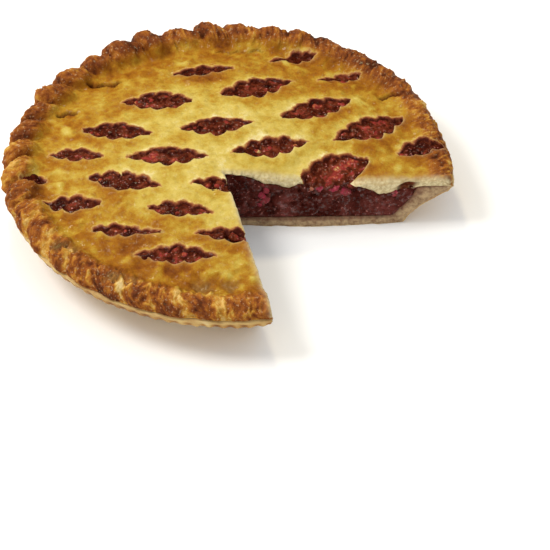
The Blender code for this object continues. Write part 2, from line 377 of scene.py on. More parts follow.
def slit_frame(row, place, gape, length, right, back, degrees):
    """Centre and direction of a slit; the rows bow and fan out towards the right."""
    fan = 1.0 + ROW_FAN * row
    x = SLIT_START[0] + (place + 0.5 * (row % 2)) * SLIT_SPACING + ROW_SHIFT * row
    y = SLIT_START[1] + ROW_SPACING * row + ROW_SPREAD * row ** 2 + (ROW_SLOPE + ROW_BOW * x) * x * fan
    slope = math.atan((ROW_SLOPE + 2.0 * ROW_BOW * x) * fan)
    angle = SLIT_TURN * slope - SLIT_TURN_BACK + math.radians(degrees)
    return np.array((x + right, y + back)), np.array((math.cos(angle), math.sin(angle)))


def slit_bow(slit, along):
    """How far the middle line of a slit is bowed back at this distance along it."""
    return SLIT_BOW * (slit[0] == -1 and slit[1] == 2) * np.clip(1.0 - (2.0 * along / slit[3]) ** 2, 0.0, 1.0)


def slit_half(slit, along):
    """Half the gape at this distance along the slit."""
    return slit_lens(slit, along) * (slit[2] / 2.0 + LOBE_DEPTH * np.cos(2.0 * math.pi * along / LOBE_PITCH))


def slit_lens(slit, along):
    """Share of the full gape at this distance along the slit; the tips are thin and blunt."""
    part = np.clip(2.0 * np.abs(along) / slit[3], 0.0, 1.0)
    lens = 0.80 * (1.0 - part ** 2) ** 1.9 + 0.20 * (1.0 - part ** 8)
    for row, place, end in HALF_SHUT:
        if slit[:2] == (row, place):
            lens = lens * (1.0 - 0.72 * smooth(0.5 + 2.4 * end * along / slit[3]))
    return lens


def slit_edges(slit, along):
    """Distances of the near and the far edge from the slit's middle line; the near one's lobes meet in points."""
    shake = np.random.default_rng(700 + 10 * slit[0] + slit[1]).uniform(-1.0, 1.0, 12)
    near_turn = (along + 0.8 * shake[0]) / LOBE_PITCH
    far_turn = (along - 1.8 + 1.2 * shake[1]) / LOBE_PITCH
    near_size = 1.0 + 0.35 * shake[2 + np.round(near_turn).astype(int) % 5]
    far_size = 1.0 + 0.45 * shake[7 + np.round(far_turn).astype(int) % 5]
    near = near_size * (2.0 * np.abs(np.cos(math.pi * near_turn)) ** 0.8 - 1.3)
    far = far_size * (2.5 * np.abs(np.cos(math.pi * far_turn)) ** 0.9 - 1.6)
    if slit[:2] == (-1, 1):
        near = 1.0
        far = 0.5 * far
    lens = slit_lens(slit, along)
    half = lens * slit[2] / 2.0
    lobe = LOBE_DEPTH * np.minimum(2.0 * lens, 1.0)
    return np.maximum(half + lobe * near, 0.35 * half), np.maximum(half + lobe * far, 0.35 * half)


def slit_local(slit, places):
    """Distances along and across the slit of places seen from above."""
    centre, direction = slit_frame(*slit)
    offset = places[:, :2] - centre
    along = offset @ direction
    return along, offset[:, 1] * direction[0] - offset[:, 0] * direction[1] - slit_bow(slit, along)


def even_loop(points, spacing):
    """Points at even distances along a closed outline."""
    closed = np.vstack((points, points[:1]))
    lengths = np.concatenate(([0.0], np.cumsum(np.linalg.norm(np.diff(closed, axis=0), axis=1))))
    count = int(lengths[-1] / spacing)
    wanted = np.arange(count) * lengths[-1] / count
    return np.column_stack([np.interp(wanted, lengths, closed[:, axis]) for axis in (0, 1)])


def slit_loop(slit, spacing=LOOP_SPACING, grow=0.0):
    """Outline of a slit in the plan, anticlockwise, grown sideways by this much."""
    centre, direction = slit_frame(*slit)
    reach = slit[3] / 2.0
    along = -reach * np.cos(np.linspace(0.0, math.pi, 160))
    near, far = slit_edges(slit, along)
    wander = 0.5 * noise(np.column_stack((along, far, along * 0.0 + 9.0 * slit[0])), 2.2, 3 + slit[1])
    far = far + wander * smooth(far / 2.0)
    local = np.vstack((
        np.column_stack((along, -near - grow)),
        np.column_stack((along, far + grow))[::-1],
    ))
    sideways = np.array((-direction[1], direction[0]))
    local[:, 1] += slit_bow(slit, local[:, 0])
    outline = centre + local[:, :1] * direction + local[:, 1:] * sideways
    return to_plan(even_loop(outline, spacing))


def inside(points, loop):
    """Which points lie inside a closed outline."""
    result = np.zeros(len(points), dtype=bool)
    close = np.all((points >= loop.min(axis=0)) & (points <= loop.max(axis=0)), axis=1)
    x, y = points[close, 0][:, None], points[close, 1][:, None]
    ax, ay = loop[:, 0], loop[:, 1]
    bx, by = np.roll(ax, -1), np.roll(ay, -1)
    spans = (ay > y) != (by > y)
    slope = (bx - ax) / np.where(by == ay, 1e-9, by - ay)
    crossings = np.sum(spans & (x < ax + (y - ay) * slope), axis=1)
    result[close] = crossings % 2 == 1
    return result


def in_pie(plan):
    """Which plan points lie outside the missing wedge."""
    offset = plan - CUT_POINT
    turn = (np.arctan2(offset[:, 1], offset[:, 0]) - RIGHT_CUT) % (2.0 * math.pi)
    return turn < (LEFT_CUT - RIGHT_CUT) % (2.0 * math.pi)


def pie_outline(radius, spacing):
    """The plan's outer edge: round from the right-hand cut to the left-hand one, and back by the point."""
    ends = []
    for turn in (RIGHT_CUT, LEFT_CUT):
        ends.append(at_radius(CUT_POINT + np.array([[math.cos(turn), math.sin(turn)]]), radius)[0])
    start = math.atan2(ends[0][1], ends[0][0])
    sweep = (math.atan2(ends[1][1], ends[1][0]) - start) % (2.0 * math.pi)
    turns = start + np.linspace(0.0, sweep, int(sweep * radius / spacing))
    rim = radius * np.column_stack((np.cos(turns), np.sin(turns)))
    back = np.linspace(ends[1], CUT_POINT, int(np.linalg.norm(ends[1] - CUT_POINT) / spacing))[1:]
    out = np.linspace(CUT_POINT, ends[0], int(np.linalg.norm(ends[0] - CUT_POINT) / spacing))[1:-1]
    return np.vstack((rim, back, out))


def staggered(spacing, inner, outer, seed):
    """A slightly shaken staggered grid of points between two radii."""
    side = np.arange(-outer, outer + spacing, spacing)
    x, y = np.meshgrid(side, side)
    x = x + spacing / 2.0 * (np.arange(len(side)) % 2)[:, None]
    points = np.column_stack((x.ravel(), y.ravel()))
    points += np.random.default_rng(seed).uniform(-0.12, 0.12, points.shape) * spacing
    radius = np.hypot(points[:, 0], points[:, 1])
    return points[(radius >= inner) & (radius < outer)]


def tree_of(points):
    tree = KDTree(len(points))
    for number, point in enumerate(points):
        tree.insert((point[0], point[1], 0.0), number)
    tree.balance()
    return tree


def nearest(tree, points):
    """Number of and distance to the nearest tree point of each point."""
    found = [tree.find((point[0], point[1], 0.0))[1:] for point in points]
    return np.array([entry[0] for entry in found]), np.array([entry[1] for entry in found])


def clear_of(points, others, distance):
    """The points that lie further than this from every other point."""
    return points[nearest(tree_of(others), points)[1] > distance]


def offset_rings(loop, distances):
    """Points around a loop at these distances outside it."""
    ahead = np.roll(loop, -1, axis=0) - np.roll(loop, 1, axis=0)
    outward = np.column_stack((ahead[:, 1], -ahead[:, 0])) / np.linalg.norm(ahead, axis=1)[:, None]
    return np.vstack([clear_of(loop + outward * distance, loop, 0.9 * distance) for distance in distances])


def triangulate(points, loops, keep):
    """Triangles over points and closed loops; keep says which triangle centres belong to the piece."""
    edges = []
    start = 0
    for loop in loops:
        edges += [(start + number, start + (number + 1) % len(loop)) for number in range(len(loop))]
        start += len(loop)
    everything = np.vstack(list(loops) + [points])
    made = delaunay_2d_cdt([Vector(point) for point in everything], edges, [], 0, 1e-4, True)
    plan = np.array([tuple(vector) for vector in made[0]])
    triangles = np.array(made[2])
    triangles = triangles[keep(plan[triangles].mean(axis=1))]
    used, packed = np.unique(triangles, return_inverse=True)
    return plan[used], packed.reshape(triangles.shape)


def border_edges(triangles):
    """The edges, in their triangles' direction, that only one triangle has."""
    edges = np.vstack((triangles[:, [0, 1]], triangles[:, [1, 2]], triangles[:, [2, 0]]))
    _, which, counts = np.unique(np.sort(edges, axis=1), axis=0, return_inverse=True, return_counts=True)
    return edges[counts[which.ravel()] == 1]


def vertex_normals(places, triangles):
    corners = places[triangles]
    across = np.cross(corners[:, 1] - corners[:, 0], corners[:, 2] - corners[:, 0])
    total = np.zeros_like(places)
    for corner in range(3):
        np.add.at(total, triangles[:, corner], across)
    return total / np.maximum(np.linalg.norm(total, axis=1), 1e-9)[:, None]


class Sheet:
    """A thick sheet: a plan with its triangles and border, a coarser inner side, and walls in rows."""

    def __init__(self, points, loops, coarse, keep):
        self.plan, self.triangles = triangulate(points, loops, keep)
        self.edges = border_edges(self.triangles)
        self.border = np.unique(self.edges)
        self.border_plan = self.plan[self.border]
        self.edge_rows = np.searchsorted(self.border, self.edges)
        self.outward = self.border_directions()
        coarse = clear_of(coarse, self.border_plan, 1.0)
        vectors = [Vector(point) for point in np.vstack((self.border_plan, coarse))]
        made = delaunay_2d_cdt(vectors, [tuple(edge) for edge in self.edge_rows.tolist()], [], 0, 1e-6, True)
        self.inner_plan = np.array([tuple(vector) for vector in made[0]])
        inner_triangles = np.array(made[2])
        self.inner_triangles = inner_triangles[keep(self.inner_plan[inner_triangles].mean(axis=1))]

    def border_directions(self):
        """Unit plan directions that point away from the piece at its border points."""
        start = self.plan[self.edges[:, 0]]
        end = self.plan[self.edges[:, 1]]
        right = np.column_stack((end[:, 1] - start[:, 1], start[:, 0] - end[:, 0]))
        total = np.zeros((len(self.border), 2))
        np.add.at(total, self.edge_rows[:, 0], right)
        np.add.at(total, self.edge_rows[:, 1], right)
        return total / np.maximum(np.linalg.norm(total, axis=1), 1e-9)[:, None]

    def make(self, name, outer, inner, rows, wall):
        """Builds the object; wall gives the places of a row of wall points from its share of the way in."""
        top = outer[self.border]
        bottom = inner[: len(self.border)]
        middle = [wall(top, bottom, row / rows) for row in range(1, rows)]
        ids = [self.border]
        start = len(outer) + len(inner)
        for _ in middle:
            ids.append(start + np.arange(len(self.border)))
            start += len(self.border)
        ids.append(len(outer) + np.arange(len(self.border)))
        faces = [self.triangles, self.inner_triangles[:, ::-1] + len(outer)]
        first, second = self.edge_rows[:, 0], self.edge_rows[:, 1]
        for upper, lower in zip(ids, ids[1:]):
            faces.append(np.column_stack((upper[second], upper[first], lower[first])))
            faces.append(np.column_stack((upper[second], lower[first], lower[second])))
        places = np.vstack([outer, inner] + middle)
        return mesh_object(name, places, np.vstack(faces)), places

    def spread(self, outer, inner, rows, wall):
        """Joins values on the outer side, the inner side and each wall row into one value a vertex."""
        parts = [np.broadcast_to(outer, len(self.plan)), np.broadcast_to(inner, len(self.inner_plan))]
        for row in range(1, rows):
            parts.append(np.broadcast_to(wall(row / rows), len(self.border)))
        return np.concatenate(parts)


def mesh_object(name, places, faces):
    mesh = bpy.data.meshes.new(name)
    mesh.from_pydata((places * MM).tolist(), [], faces.tolist())
    mesh.shade_smooth()
    made = bpy.data.objects.new(name, mesh)
    bpy.context.scene.collection.objects.link(made)
    return made


def set_attribute(piece, name, values):
    data = piece.data.attributes.new(name, "FLOAT", "POINT").data
    data.foreach_set("value", np.asarray(values, dtype=np.float32))


def linear(red, green, blue):
    """Linear colour from 8-bit display values."""
    scaled = []
    for value in (red, green, blue):
        value = value / 255.0
        scaled.append(value / 12.92 if value <= 0.04045 else ((value + 0.055) / 1.055) ** 2.4)
    return (*scaled, 1.0)


class Shader:
    """A Principled material and short ways to add nodes to it."""

    def __init__(self, name):
        self.material = bpy.data.materials.new(name)
        self.material.use_nodes = True
        self.tree = self.material.node_tree
        self.surface = self.tree.nodes["Principled BSDF"]
        self.place = self.tree.nodes.new("ShaderNodeTexCoord").outputs["Object"]

    def node(self, kind, inputs=(), **settings):
        made = self.tree.nodes.new(kind)
        for key, value in settings.items():
            setattr(made, key, value)
        for key, value in inputs:
            self.feed(made.inputs[key], value)
        return made

    def feed(self, socket, value):
        if isinstance(value, bpy.types.NodeSocket):
            self.tree.links.new(value, socket)
        else:
            socket.default_value = value

    def value(self, name):
        return self.node("ShaderNodeAttribute", attribute_name=name).outputs["Fac"]

    def math(self, operation, first, second=0.0, clamp=False):
        return self.node("ShaderNodeMath", ((0, first), (1, second)), operation=operation, use_clamp=clamp).outputs[0]

    def noise(self, size, detail=3.0, rough=0.55, swirl=0.0):
        """Noise from about 0 to 1 with features of this size in millimetres."""
        inputs = (
            ("Vector", self.place), ("Scale", 1.0 / (size * MM)), ("Detail", detail), ("Roughness", rough),
            ("Distortion", swirl),
        )
        return self.node("ShaderNodeTexNoise", inputs).outputs["Fac"]

    def noise_on(self, vector, size, detail=3.0):
        """Noise over other coordinates, with features of this size."""
        inputs = (("Vector", vector), ("Scale", 1.0 / size), ("Detail", detail), ("Roughness", 0.55))
        return self.node("ShaderNodeTexNoise", inputs).outputs["Fac"]

    def swing(self, value, middle, amount):
        """(value - middle) * amount."""
        return self.math("MULTIPLY", self.math("SUBTRACT", value, middle), amount)

    def over(self, value, low, high):
        """0 where value is under low, 1 where it is over high."""
        made = self.node("ShaderNodeMapRange", ((0, value), (1, low), (2, high)), interpolation_type="SMOOTHSTEP")
        return made.outputs[0]

    def ramp(self, value, stops):
        made = self.node("ShaderNodeValToRGB", (("Fac", value),))
        elements = made.color_ramp.elements
        while len(elements) < len(stops):
            elements.new(0.5)
        for element, (place, colour) in zip(elements, stops):
            element.position = place
            element.color = linear(*colour)
        return made.outputs["Color"]

    def mix(self, share, first, second):
        made = self.node("ShaderNodeMix", data_type="RGBA")
        for socket, value in ((made.inputs[0], share), (made.inputs[6], first), (made.inputs[7], second)):
            self.feed(socket, value)
        return made.outputs[2]

    def bump(self, height, distance, strength=1.0, normal=None):
        made = self.node("ShaderNodeBump", (("Height", height), ("Distance", distance * MM), ("Strength", strength)))
        if normal is not None:
            self.feed(made.inputs["Normal"], normal)
        return made.outputs["Normal"]

    def set(self, **inputs):
        for key, value in inputs.items():
            self.feed(self.surface.inputs[key.replace("_", " ")], value)


LID_COLOURS = (
    (0.00, (208, 194, 142)),
    (0.18, (190, 168, 86)),
    (0.34, (176, 149, 60)),
    (0.48, (162, 122, 34)),
    (0.62, (144, 92, 18)),
    (0.76, (124, 70, 14)),
    (0.90, (100, 50, 14)),
    (1.00, (70, 34, 12)),
)
RIM_COLOURS = (
    (0.00, (214, 186, 128)),
    (0.25, (198, 158, 84)),
    (0.42, (176, 126, 46)),
    (0.56, (155, 95, 34)),
    (0.70, (131, 72, 26)),
    (0.85, (104, 52, 24)),
    (1.00, (70, 34, 14)),
)


# From the pale dough behind a slit down to the juice that soaks its far edge.
HEM_COLOURS = (
    (0.20, (214, 190, 112)),
    (0.36, (184, 146, 78)),
    (0.50, (148, 98, 54)),
    (0.68, (112, 54, 32)),
    (1.00, (66, 22, 14)),
)


def top_crust_material():
    shader = Shader("baked_crust")
    rope = shader.value("rope")
    puff = shader.value("puff")
    run = (("X", shader.value("along")), ("Y", shader.math("MULTIPLY", shader.value("over"), 0.35)))
    strands = shader.node("ShaderNodeCombineXYZ", run).outputs[0]
    fibre = shader.noise_on(strands, 1.9, 3.0)
    fine = shader.noise(0.8, 3.0)
    blotch = shader.swing(shader.noise(2.6, 4.0), 0.5, 0.34)
    brown = shader.math("ADD", shader.value("brown"), blotch)
    brown = shader.math("ADD", brown, shader.math("MULTIPLY", shader.swing(fibre, 0.5, 0.58), rope))
    brown = shader.math("ADD", brown, shader.swing(fine, 0.5, 0.24), clamp=True)
    crust = shader.mix(rope, shader.ramp(brown, LID_COLOURS), shader.ramp(brown, RIM_COLOURS))
    crumb = shader.ramp(shader.noise(1.6, 4.0), ((0.3, (174, 152, 110)), (0.6, (216, 200, 156))))
    colour = shader.mix(shader.value("crumb"), crust, crumb)
    # Painted shade: a darker, duller olive-brown laid into the finger marks' hollows.
    hollow_shade = shader.ramp(shader.noise(2.0), ((0.3, (96, 72, 34)), (0.7, (150, 122, 66))))
    colour = shader.mix(shader.value("hollow_shade"), colour, hollow_shade)
    # Juice stain, and painted shade in the cracks, in the hollow under the lid's end and low on the cut walls.
    stain_and_shade = shader.ramp(shader.noise(1.5), ((0.3, (66, 24, 14)), (0.7, (116, 56, 32))))
    colour = shader.mix(shader.value("stain_and_shade"), colour, stain_and_shade)
    dry = shader.math("ADD", shader.value("crumb"), shader.value("stain_and_shade"))
    # Painted glints: small pale specks on the puffs behind the slits and on the rope, standing in for highlights.
    painted_glint = shader.math("MULTIPLY", shader.over(shader.noise(1.5, 3.0), 0.58, 0.68), puff)
    painted_glint = shader.math("MULTIPLY", shader.math("SUBTRACT", painted_glint, dry, clamp=True), 0.5)
    colour = shader.mix(painted_glint, colour, linear(238, 218, 170))
    hem = shader.math("ADD", shader.swing(shader.noise(2.4, 2.0), 0.5, 1.3), 1.0)
    hem = shader.math("MULTIPLY", hem, shader.value("hem"), clamp=True)
    colour = shader.mix(shader.over(hem, 0.24, 0.46), colour, shader.ramp(hem, HEM_COLOURS))
    rough = shader.math("ADD", shader.swing(shader.noise(3.0), 0.5, 0.3), 0.5)
    rough = shader.math("ADD", rough, shader.math("MULTIPLY", shader.value("crumb"), 0.3), clamp=True)
    dry = shader.math("ADD", dry, shader.math("MULTIPLY", rope, 0.95))
    wash = shader.math("SUBTRACT", shader.over(shader.noise(2.2, 5.0), 0.54, 0.62), dry, clamp=True)
    relief = shader.bump(shader.noise(2.6, 4.0), 0.7, 0.8)
    relief = shader.bump(shader.math("MULTIPLY", fibre, rope), 1.5, 1.0, relief)
    relief = shader.bump(fine, 0.35, 0.6, relief)
    sparkle = shader.bump(shader.noise(2.2, 4.0), 0.5, 1.0, relief)
    shader.set(
        Base_Color=colour, Roughness=rough, Normal=relief, Coat_Weight=wash,
        Coat_Roughness=0.13, Coat_Normal=sparkle, Specular_IOR_Level=0.04,
        Subsurface_Weight=0.06, Subsurface_Radius=(0.004, 0.002, 0.001),
    )
    return shader.material


def bottom_crust_material():
    shader = Shader("pale_crust")
    brown = shader.math("ADD", shader.value("brown"), shader.swing(shader.noise(3.0), 0.5, 0.3), clamp=True)
    crust = shader.ramp(brown, (
        (0.0, (218, 196, 144)),
        (0.35, (196, 164, 100)),
        (0.7, (164, 118, 56)),
        (1.0, (124, 78, 34)),
    ))
    crumb = shader.ramp(shader.noise(2.2, 5.0), ((0.3, (126, 96, 66)), (0.62, (196, 168, 124))))
    colour = shader.mix(shader.value("crumb"), crust, crumb)
    # Juice stain, and painted shade on the cut walls.
    stain_and_shade = shader.ramp(shader.noise(2.0), ((0.3, (70, 26, 18)), (0.7, (112, 54, 36))))
    colour = shader.mix(shader.value("stain_and_shade"), colour, stain_and_shade)
    relief = shader.bump(shader.noise(1.6, 4.0), 0.5, 0.6)
    shader.set(
        Base_Color=colour, Roughness=0.7, Normal=relief, Specular_IOR_Level=0.3,
        Subsurface_Weight=0.05, Subsurface_Radius=(0.003, 0.002, 0.001),
    )
    return shader.material


# Cherry stuff from dark juice to pale skins: where the lid's slits show it, and at the cut.
FRUIT_COLOURS = (
    (0.00, (30, 3, 1)),
    (0.22, (54, 12, 3)),
    (0.42, (76, 26, 10)),
    (0.58, (104, 44, 24)),
    (0.72, (134, 42, 40)),
    (0.86, (156, 84, 48)),
    (1.00, (206, 176, 116)),
)
CUT_COLOURS = (
    (0.00, (42, 6, 2)),
    (0.22, (62, 18, 11)),
    (0.42, (80, 32, 25)),
    (0.58, (98, 46, 39)),
    (0.72, (122, 54, 52)),
    (0.86, (164, 50, 72)),
    (1.00, (176, 120, 84)),
)


def fruit_material(name):
    shader = Shader(name)
    cut = shader.value("cut")
    coarse = shader.swing(shader.noise(4.0, 2.0, 0.5, 1.0), 0.5, 0.8)
    fine = shader.swing(shader.noise(1.8, 2.0), 0.5, 0.4)
    calm = shader.math("SUBTRACT", 1.0, shader.math("MULTIPLY", cut, 0.45))
    grain = shader.math("MULTIPLY", shader.math("ADD", coarse, fine), calm)
    tone = shader.math("ADD", shader.value("tone"), grain, clamp=True)
    colour = shader.mix(cut, shader.ramp(tone, FRUIT_COLOURS), shader.ramp(tone, CUT_COLOURS))
    # Painted glints: pale pink specks standing in for highlights on the wet fruit.
    painted_glint = shader.over(shader.noise(1.4, 2.0), 0.64, 0.72)
    colour = shader.mix(shader.math("MULTIPLY", painted_glint, 0.5), colour, linear(216, 140, 128))
    rough = shader.math("ADD", shader.swing(shader.noise(2.0), 0.5, 0.3), 0.4)
    relief = shader.bump(shader.noise(3.4, 3.0, 0.5, 1.0), 1.4, 0.9)
    sparkle = shader.bump(shader.noise(1.7, 2.0), 0.8, 1.0, relief)
    wet = shader.over(shader.noise(2.0, 2.0), 0.53, 0.59)
    shader.set(
        Base_Color=colour, Roughness=rough, Normal=relief, Coat_Weight=wet, Coat_Roughness=0.09,
        Coat_Normal=sparkle, Specular_IOR_Level=0.03,
        Subsurface_Weight=0.1, Subsurface_Radius=(0.004, 0.001, 0.0008),
    )
    return shader.material


class SlitField:
    """What the slits do to the places around them."""

    def __init__(self, places):
        self.behind = np.zeros(len(places))
        self.before = np.zeros(len(places))
        self.open = np.zeros(len(places))
        for slit in SLITS:
            along, across = slit_local(slit, places)
            reach = slit[3] / 2.0
            window = np.exp(-(along / reach) ** 4)
            half = slit_half(slit, np.clip(along, -reach, reach))
            behind = np.maximum(across - half, 0.0)
            before = -across - half
            self.behind = np.maximum(self.behind, window * np.exp(-(behind / 4.5) ** 2) * (across > 0.0))
            self.before = np.maximum(self.before, window * np.exp(-((before - 5.0) / 5.5) ** 2) * (across < 0.0))
            ends = smooth((reach + 2.0 - np.abs(along)) / 2.0)
            self.open = np.maximum(self.open, smooth((half + 3.0 - np.abs(across)) / 2.0) * ends)


def border_kinds(places, plan, lip):
    """Which border points lie on the outer lip, on a slit, and on a slit's far edge."""
    on_lip = np.hypot(plan[:, 0], plan[:, 1]) > lip - 0.5
    on_slit = np.zeros(len(places), dtype=bool)
    on_far = np.zeros(len(places), dtype=bool)
    for slit in SLITS:
        along, across = slit_local(slit, places)
        close = (np.abs(along) < slit[3] / 2.0 + 1.0) & (np.abs(across) < slit[2] / 2.0 + 4.0)
        on_slit |= close
        on_far |= close & (across > 0.0)
    cut_distance = np.abs(np.cross(plan - CUT_POINT, np.array([[math.cos(RIGHT_CUT), math.sin(RIGHT_CUT)]])))
    other = np.abs(np.cross(plan - CUT_POINT, np.array([[math.cos(LEFT_CUT), math.sin(LEFT_CUT)]])))
    on_cut = np.minimum(cut_distance, other) < 1e-3
    return on_lip, on_slit & ~on_cut, on_far & ~on_cut


def crack_field(places):
    """Depth and darkness of the cracks, and depth, hollow and brim of the finger marks."""
    depth = np.zeros(len(places))
    dark = np.zeros(len(places))
    for x, y, degrees, length, width, deep, shade in CRACKS:
        turn = math.radians(degrees)
        offset = places[:, :2] - (x, y)
        along = offset[:, 0] * math.cos(turn) + offset[:, 1] * math.sin(turn)
        across = offset[:, 1] * math.cos(turn) - offset[:, 0] * math.sin(turn)
        across = across - CRACK_WAVE * np.cos(2.0 * math.pi * along / LOBE_PITCH)
        half = width / 2.0 * np.clip(1.0 - (2.0 * along / length) ** 2, 0.0, 1.0) ** 0.5
        within = smooth((half - np.abs(across)) / 0.6 + 0.4) * (half > 0.0)
        depth = np.maximum(depth, deep * within)
        dark = np.maximum(dark, shade * within)
    hollow = np.zeros(len(places))
    brim = np.zeros(len(places))
    for x, y, size, deep in DIMPLES:
        distance = np.hypot((places[:, 0] - x), 1.2 * (places[:, 1] - y)) / size
        distance = distance * (1.0 + 0.35 * np.sin(0.9 * places[:, 0] + size) * np.cos(0.7 * places[:, 1]))
        depth += deep * np.exp(-distance ** 3)
        hollow = np.maximum(hollow, np.exp(-(1.15 * distance) ** 3))
        ahead = smooth(0.5 - (places[:, 1] - y) / size)
        brim = np.maximum(brim, ahead * np.exp(-((distance - 1.1) / 0.3) ** 2))
    return depth, dark, hollow, brim


def make_crust_sheet():
    outline = pie_outline(PLAN_LIP, ROPE_SPACING)
    slits = [slit_loop(slit) for slit in SLITS]
    points = np.vstack((staggered(LID_SPACING, 0.0, FOOT - 1.0, 5), staggered(ROPE_SPACING, FOOT - 1.0, PLAN_LIP, 6)))
    fine = staggered(0.5, 0.0, PLAN_LIP, 4)
    fine = fine[crack_field(fine)[1] > 0.0]
    points = np.vstack((clear_of(points, fine, 0.5), fine))
    points = clear_of(points, outline, 0.55 * ROPE_SPACING)
    points = clear_of(points, np.vstack(slits), EDGE_RINGS[-1] + 0.5)
    points = np.vstack([points] + [offset_rings(loop, EDGE_RINGS) for loop in slits])
    for loop in slits:
        points = points[~inside(points, loop)]
    points = points[in_pie(points)]
    points = clear_of(points, outline, 0.3)

    def keep(centres):
        kept = in_pie(centres)
        for loop in slits:
            kept &= ~inside(centres, loop)
        return kept

    return Sheet(points, [outline] + slits, staggered(3.0, 0.0, PLAN_LIP - 1.0, 7), keep)


def crust_relief(plan, base, share, angle, slits):
    """How far the dough stands out from its plain form: lobes, waves, puffs and fine roughness."""
    flat = np.column_stack((plan, np.zeros(len(plan))))
    rope = smooth(share / 0.2) * (1.0 - 0.55 * around(FLATNESS_AT, angle))
    front = around(FRONT_AT, angle)
    turn = flute_turn(angle, share)
    crease = np.abs((turn + 0.5) % 1.0 - 0.5)
    over = smooth(rope_swell(plan, angle) / 0.28) * smooth((1.0 - share) / 0.3)
    flute = FLUTE_DEPTH * around(ROPE_RISE_AT, angle) * around(FLUTE_STRENGTH_AT, angle)
    relief = over * flute * flute_wave(angle, share) * (1.0 - 0.4 * front)
    relief += over * front * 0.9 * np.exp(-(crease / 0.09) ** 2)
    relief -= over * (1.0 - front) * 1.6 * around(FLUTE_STRENGTH_AT, angle) * np.exp(-(crease / 0.06) ** 2)
    relief += over * (0.9 + 0.4 * around(FLUTE_STRENGTH_AT, angle)) * folds(angle, share)
    relief += 0.8 * fractal(flat, 22.0, 21, 3) + 0.55 * fractal(flat, 6.0, 25, 2) + 0.3 * noise(flat, 3.2, 28)
    edge = np.exp(-((np.hypot(base[:, 0], base[:, 1]) - 94.0) / 8.0) ** 2)
    relief += edge * (0.9 * noise(flat, 8.0, 59) + 0.5 * noise(flat, 4.5, 60))
    relief -= 0.35 * np.abs(noise(flat, 5.0, 27))
    relief += rope * (0.5 * fractal(base, 8.0, 31, 2) - 1.0 * np.abs(noise(base, 5.0, 33)) + 0.3)
    relief += rope * (0.35 * fractal(base, 2.4, 35, 2))
    puff = 0.5 + 0.6 * noise(flat, 4.0, 37) - 0.5 * np.abs(noise(flat, 2.4, 38))
    relief += slits.behind * (0.35 + 0.5 * puff) + 0.25 * slits.before
    return relief


def crust_tone(plan, base, share, angle, slits):
    """How brown the crust is, from 0 to 1."""
    flat = np.column_stack((plan, np.zeros(len(plan))))
    radius = np.hypot(base[:, 0], base[:, 1])
    flatness = around(FLATNESS_AT, angle)
    lid = 0.26 + 0.24 * smooth((radius - 35.0) / 45.0) + 0.07 * smooth((radius - 80.0) / 25.0)
    lid += 0.10 * smooth((-base[:, 1] - 45.0) / 40.0) + 0.06 * smooth((base[:, 1] - 50.0) / 30.0)
    lid -= 0.12 * np.exp(-((base[:, 0] + 2.0) / 24.0) ** 2 - ((base[:, 1] + 84.0) / 14.0) ** 2)
    lid -= 0.02 * smooth((base[:, 0] - 20.0) / 50.0)
    edge = np.exp(-((radius - 94.0) / 8.0) ** 2)
    lid -= edge * 0.26 * smooth(2.0 * noise(flat, 8.0, 59) - 0.2)
    lid += 0.14 * fractal(flat, 20.0, 51, 3) + 0.13 * fractal(flat, 7.0, 55, 3) + 0.06 * noise(flat, 3.4, 58)
    # Browner towards the right-hand slope: painted shade on the side turned from the key light.
    lid += 0.06 * smooth((base[:, 0] - 84.0) / 20.0)
    lid += 0.12 * slits.before - slits.behind * (0.20 + 0.26 * noise(flat, 7.0, 62))
    turn = flute_turn(angle, share)
    part = turn % 1.0
    number = np.floor(turn).astype(int) % FLUTES
    lobe_tone = np.random.default_rng(19).uniform(-0.06, 0.08, FLUTES)[number]
    front = around(FRONT_AT, angle)
    ridge = np.minimum(part, 1.0 - part) + 0.10 * fractal(base, 6.0, 67, 2)
    rope = 0.64 + 0.06 * smooth(-base[:, 0] / 60.0) + lobe_tone + 0.20 * fractal(base, 9.0, 61, 3) + 0.12 * fractal(base, 2.8, 65, 2)
    # Browner in the creases between the lobes: painted shade.
    rope += 0.10 * (1.0 - front) * np.exp(-(ridge / 0.10) ** 2)
    number = np.round(turn).astype(int) % FLUTES
    lobe_ridge = np.random.default_rng(31).uniform(0.05, 0.46, FLUTES)[number]
    ridge_width = np.random.default_rng(32).uniform(0.08, 0.20, FLUTES)[number]
    rope += front * (0.09 - lobe_ridge * np.exp(-(ridge / ridge_width) ** 2))
    # Paler along the raised folds: a painted highlight on their crests.
    rope += 0.06 * flatness + 0.14 * smooth((base[:, 1] - 40.0) / 60.0) - 0.28 * folds(angle, share)
    blend = smooth((share - 0.05 + 0.14 * fractal(base, 9.0, 71, 2)) / 0.3)
    return lid + (rope - lid) * blend


def pocket(places):
    """How far places lie in the hollow under the lid's end at the right-hand cut, from 0 to 1."""
    along, across = from_right_cut(places[:, :2])
    shape = ((along - POCKET_ALONG) / 5.0) ** 2 + ((places[:, 2] - POCKET_HEIGHT - 0.25 * (along - 99.0)) / 2.2) ** 2
    return np.exp(-shape - (across / 4.0) ** 2)


